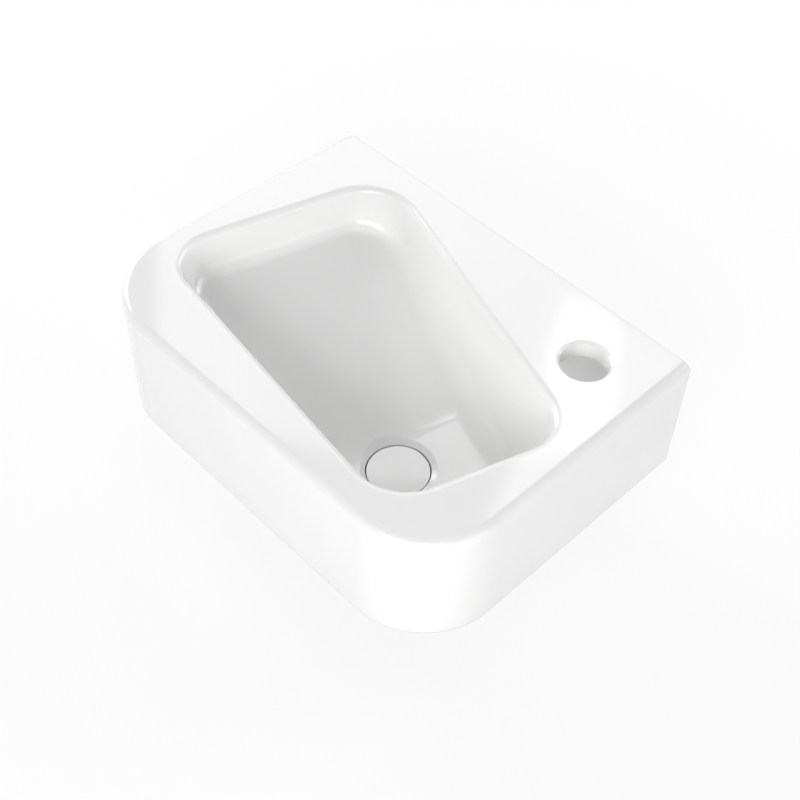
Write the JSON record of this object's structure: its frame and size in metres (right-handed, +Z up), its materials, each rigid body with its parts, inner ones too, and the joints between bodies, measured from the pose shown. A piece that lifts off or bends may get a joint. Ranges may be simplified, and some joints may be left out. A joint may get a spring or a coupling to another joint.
{
  "type": "corner basin",
  "caption": "Compact wall-hung ceramic hand basin with rounded front corners, a slanting trapezoid bowl, a tap hole at the right rear and a push-open waste with a flush cover.",
  "frame": {"origin": "middle of the two wall fixing holes, on the casting's rear face, 40 mm below its top", "axes": "+X to the right along the rear wall, +Y into that wall, +Z up"},
  "size_m": [0.34, 0.25, 0.1482],
  "materials": {
    "ceramic": "opaque white glaze",
    "brass": "machined",
    "chrome": "polished",
    "stainless": "turned",
    "spring_steel": "drawn wire",
    "seal_rubber": "smooth",
    "white_plastic": "moulded",
    "grey_plastic": "moulded",
    "foam": "soft"
  },
  "bodies": {
    "basin_body": {"basin": "ceramic", "waste_body": "chrome", "flange_seal": "seal_rubber", "underside_seal": "seal_rubber", "thrust_washer": "white_plastic", "backnut": "chrome", "cartridge_sleeve": "white_plastic", "cartridge_cap": "white_plastic", "rod_wiper": "seal_rubber", "cartridge_spring": "spring_steel"},
    "plug": {"plug_cover": "ceramic", "cover_pad": "foam", "plug_carrier": "brass", "plug_seal": "seal_rubber", "plunger_rod": "stainless", "height_locknut": "stainless", "push_cam": "white_plastic"},
    "rotor": {"index_rotor": "grey_plastic"}
  },
  "joints": [
    {"name": "plug_slide", "type": "slide", "parent": "basin_body", "child": "plug", "axis": [0, 0, 1], "range_m": [0, 0.008], "deforming": ["cartridge_spring"]},
    {"name": "index_turn", "type": "hinge", "parent": "plug", "child": "rotor", "pos_m": [0.0578, -0.1632, -0.0825], "axis": [0, 0, 1], "range_deg": [0, 45]}
  ],
  "couplings": [
    {"joint": "index_turn", "follows": "plug_slide", "rad_per_m": 98.17}
  ]
}
